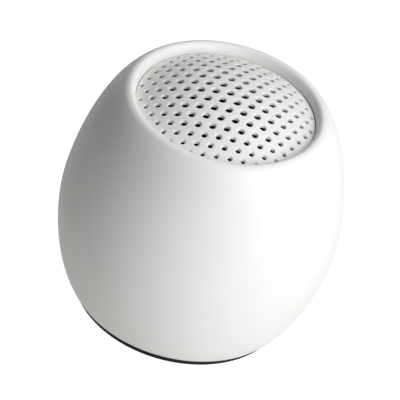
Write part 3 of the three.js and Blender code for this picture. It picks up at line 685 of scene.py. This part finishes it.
def build_cloth():
    """Acoustic cloth stretched in the CAD cloth's place, under the grille."""
    radius = CLOTH_HIGH.x
    drop = GRILLE_APEX_Z - CLOTH_HIGH.z
    thickness = dome_z(radius) - drop - CLOTH_LOW.z
    upper = [(r, dome_z(r) - drop) for r in np.linspace(0, radius, CLOTH_RINGS + 1)]
    lower = [(r, z - thickness) for r, z in upper]
    mesh = mesh_from("cloth_liner", *revolve(lower + upper[::-1], CLOTH_SIDES, closed=False))
    mesh.set_sharp_from_angle(angle=math.radians(50))
    piece = new_piece("cloth_liner", mesh, CLOTH, "chassis", ["grille_cloth"])


# ---------- charging socket and light pipe ----------

CAN_WALL, CAN_LIP = 0.35 * MM, 0.17 * MM
CAN_FLOOR = 1 * MM
CAN_LIP_DEPTH = 0.4 * MM
CONTACTS, CONTACT_PITCH = 12, 0.5 * MM
CONTACT_WIDTH, CONTACT_PROUD = 0.26 * MM, 0.03 * MM


def slot_section(width, height, x, z, y, steps=10):
    """Ring of points round a slot's shape, standing across Y."""
    return [(px, y, pz) for px, pz, _, _ in stadium(width, height, x, z, steps)]


def slot_solid(name, width, height, z, profile):
    """A slot's shape carried along Y, narrowed by inset at y for each (inset, y) of the profile."""
    return lofted(name, [
        slot_section(width - 2 * inset, height - 2 * inset, 0, z, y) for inset, y in profile])


def build_socket():
    width, height = PORT_HIGH.x - PORT_LOW.x, PORT_HIGH.z - PORT_LOW.z
    middle = (PORT_LOW.z + PORT_HIGH.z) / 2
    mouth, back = PORT_HIGH.y, PORT_LOW.y
    floor = back + CAN_FLOOR
    profile = [(0.3 * MM, back), (0.1 * MM, back + 0.08 * MM), (0, back + 0.3 * MM)]
    for turn in np.radians(np.linspace(0, 180, 9)):
        profile.append((CAN_LIP * (1 - math.cos(turn)), mouth - CAN_LIP * (1 - math.sin(turn))))
    profile += [(CAN_WALL, mouth - CAN_LIP_DEPTH), (CAN_WALL, floor)]
    can = slot_solid("socket_can", width, height, middle, profile)
    can.set_sharp_from_angle(angle=math.radians(50))
    new_piece("socket_can", can, BY_SLOT["steel"], "chassis", ["port_shell"])

    tongue_width, tongue_height = TONGUE_HIGH.x - TONGUE_LOW.x, TONGUE_HIGH.z - TONGUE_LOW.z
    tip = TONGUE_HIGH.y
    profile = [(0, floor), (0, tip - 0.35 * MM), (0.04 * MM, tip - 0.12 * MM), (0.16 * MM, tip)]
    tongue = slot_solid("socket_tongue", tongue_width, tongue_height, middle, profile)
    tongue.set_sharp_from_angle(angle=math.radians(40))
    new_piece("socket_tongue", tongue, BY_SLOT["chip_resin"], "chassis", ["port_tongue"])

    strips = bmesh.new()
    for side in (-1, 1):
        for k in range(CONTACTS):
            x = (k - (CONTACTS - 1) / 2) * CONTACT_PITCH
            z = middle + side * tongue_height / 2
            strip = lofted("strip", [
                slot_section(CONTACT_WIDTH - narrower, 2 * CONTACT_PROUD, x, z, y, 4)
                for narrower, y in ((0, floor), (0, tip - 0.55 * MM), (0.08 * MM, tip - 0.4 * MM))])
            strips.from_mesh(strip)
            bpy.data.meshes.remove(strip)
    contacts = bpy.data.meshes.new("socket_contacts")
    strips.to_mesh(contacts)
    strips.free()
    new_piece("socket_contacts", contacts, CONTACT_GOLD, "chassis")


FLANGE_LIP, FLANGE_THICKNESS = 0.5 * MM, 0.5 * MM
FLANGE_BEVEL = 0.1 * MM
LENS_CROWN = 0.35 * MM


def build_light_pipe():
    """A clear rod along Y with a flange behind the wall and a domed tip."""
    centre_x, centre_z = (PIPE_LOW.x + PIPE_HIGH.x) / 2, (PIPE_LOW.z + PIPE_HIGH.z) / 2
    flange_radius = PIPE_HIGH.x - centre_x
    radius = flange_radius - FLANGE_LIP
    bevelled = flange_radius - FLANGE_BEVEL
    back, tip = PIPE_LOW.y, PIPE_HIGH.y
    flange = back + FLANGE_THICKNESS
    outline = [(0, back), (bevelled, back), (flange_radius, back + FLANGE_BEVEL)]
    outline += [(flange_radius, flange - FLANGE_BEVEL), (bevelled, flange), (radius, flange)]
    outline += [
        (radius * math.cos(a), tip - LENS_CROWN * (1 - math.sin(a))) for a in np.radians(range(0, 90, 10))]
    outline += [(0, tip)]
    mesh = turned("pipe_lens", outline, 64)
    mesh.transform(Matrix.Translation((centre_x, 0, centre_z)) @ Matrix.Rotation(math.radians(-90), 4, "X"))
    new_piece("pipe_lens", mesh, BY_SLOT["clear_plastic"], "chassis", ["light_pipe"])


# ---------- base ----------

FOOT_LEAN = 0.4 * MM  # how much smaller the foot's radius is at the floor than at the shell
FOOT_ROUND, FOOT_TOP_ROUND = 0.4 * MM, 0.15 * MM
FOOT_BORE, FOOT_BORE_ROUND = 6.2 * MM, 0.3 * MM
GROOVES = (9.5 * MM, 18.2 * MM)
GROOVE_HALF_MOUTH, GROOVE_HALF_TOP = 0.5 * MM, 0.35 * MM
GROOVE_DEPTH = 0.25 * MM

BUTTON_RADIUS, BUTTON_ROUND = 5 * MM, 0.45 * MM
DISH_RADIUS, DISH_DEPTH = 3.6 * MM, 0.35 * MM
DISH_BRINK = 0.01 * MM  # height at which the dish's outer edge stops
STEM_RADIUS, STEM_HEIGHT = 1.6 * MM, 0.4 * MM
BUTTON_FLANGE = 0.7 * MM


def build_foot():
    low, high, outer = FOOT_LOW.z, FOOT_HIGH.z, FOOT_HIGH.x
    foot_radius = outer - FOOT_LEAN
    outline = [(FOOT_BORE + FOOT_BORE_ROUND, low)]
    for groove in GROOVES:
        outline += [
            (groove - GROOVE_HALF_MOUTH, low), (groove - GROOVE_HALF_TOP, low + GROOVE_DEPTH),
            (groove + GROOVE_HALF_TOP, low + GROOVE_DEPTH), (groove + GROOVE_HALF_MOUTH, low)]
    outline += arc(foot_radius - FOOT_ROUND, low + FOOT_ROUND, FOOT_ROUND, -90, 0, 6)
    outline += arc(outer - FOOT_TOP_ROUND, high - FOOT_TOP_ROUND, FOOT_TOP_ROUND, 0, 90, 4)
    outline += [(FOOT_BORE, high)]
    outline += arc(FOOT_BORE + FOOT_BORE_ROUND, low + FOOT_BORE_ROUND, FOOT_BORE_ROUND, 180, 270, 5)[:-1]
    mesh = turned("foot_pad", outline, 160, 50)
    new_piece("foot_pad", mesh, FOOT_RUBBER, "chassis", ["rubber_foot"])


def build_button():
    """A cap with a shallow dish below, a flange that holds it in the base plate, and a stem on top."""
    low, high, flange_radius = BUTTON_LOW.z, BUTTON_HIGH.z, BUTTON_HIGH.x
    flange_high = high - STEM_HEIGHT
    flange_low = flange_high - BUTTON_FLANGE
    outline = [
        (r, low + DISH_DEPTH * (1 - (r / DISH_RADIUS) ** 2)) for r in (0, 1.2 * MM, 2.4 * MM, 3.3 * MM)]
    outline += [(DISH_RADIUS, low + DISH_BRINK)]
    outline += arc(BUTTON_RADIUS - BUTTON_ROUND, low + BUTTON_ROUND, BUTTON_ROUND, -90, 0, 6)
    outline += [
        (BUTTON_RADIUS, flange_low), (flange_radius, flange_low), (flange_radius, flange_high),
        (STEM_RADIUS, flange_high), (STEM_RADIUS, high), (0, high)]
    mesh = turned("button_cap", outline, 96, 50)
    new_piece("button_cap", mesh, BUTTON_PLASTIC, "button", ["power_button"])


# ---------- stage, lights ----------

FLOOR_SEEN, FLOOR_FELT = 1.04, 0.48  # the floor's glow as the camera sees it, and as it lights the object
FLOOR_HALF = 3.0
WORLD_SEEN, WORLD_FELT = 1.0, 0.0
LIGHT_DISTANCE, LIGHT_SIZE = 0.6, 0.35
COOL, WARM = (0.995, 1.0, 1.01), (1.0, 0.97, 0.91)
LIGHTS = (  # name, azimuth from the front towards the right, elevation, watts, tint
    ("key", 50, 48, 1.3, COOL),
    ("front", 30, 30, 1.4, COOL),
    ("low_right", 55, 12, 1.2, COOL),
    ("top_right", 130, 66, 1.1, COOL),
    ("back", 170, 45, 0.5, WARM),
    ("low_back", 170, 20, 0.3, WARM),
)


def glow(tree, socket, seen, felt):
    """A brightness of seen to the camera and of felt to everything else."""
    path = tree.nodes.new("ShaderNodeLightPath")
    strength = tree.nodes.new("ShaderNodeMapRange")
    strength.inputs["To Min"].default_value = felt
    strength.inputs["To Max"].default_value = seen
    tree.links.new(path.outputs["Is Camera Ray"], strength.inputs["Value"])
    tree.links.new(strength.outputs["Result"], socket)


def add_stage():
    corners = [(-1, -1), (1, -1), (1, 1), (-1, 1)]
    mesh = mesh_from("floor", [(x * FLOOR_HALF, y * FLOOR_HALF, 0) for x, y in corners], [(0, 1, 2, 3)])
    floor = bpy.data.objects.new("floor", mesh)
    bpy.context.scene.collection.objects.link(floor)
    finish = Finish("floor")
    finish.set(Base_Color=(0.3, 0.3, 0.3, 1), Roughness=0.9, Emission_Color=(1, 0.985, 0.96, 1))
    glow(finish.material.node_tree, finish.shader.inputs["Emission Strength"], FLOOR_SEEN, FLOOR_FELT)
    mesh.materials.append(finish.material)


def area_light(name, azimuth, elevation, power, tint):
    """A square soft light that looks at the middle of the object."""
    data = bpy.data.lights.new(name, "AREA")
    data.shape, data.size = "SQUARE", LIGHT_SIZE
    data.energy, data.color = power, tint
    turn, lift = math.radians(azimuth), math.radians(elevation)
    away = Vector((math.sin(turn) * math.cos(lift), -math.cos(turn) * math.cos(lift), math.sin(lift)))
    light = bpy.data.objects.new(name, data)
    light.location = Vector((0, 0, GRILLE_APEX_Z / 2)) + away * LIGHT_DISTANCE
    light.rotation_euler = away.to_track_quat("Z", "Y").to_euler()
    bpy.context.scene.collection.objects.link(light)


def add_lights():
    for row in LIGHTS:
        area_light(*row)
    world = bpy.data.worlds.new("world")
    world.use_nodes = True
    background = world.node_tree.nodes["Background"]
    background.inputs["Color"].default_value = (1, 1, 1, 1)
    glow(world.node_tree, background.inputs["Strength"], WORLD_SEEN, WORLD_FELT)
    bpy.context.scene.world = world
    bpy.context.scene.view_settings.view_transform = "Standard"


add_camera()
add_stage()
add_lights()
dress_cad_nodes()
build_shell()
build_grille()
build_cloth()
build_socket()
build_light_pipe()
build_foot()
build_button()
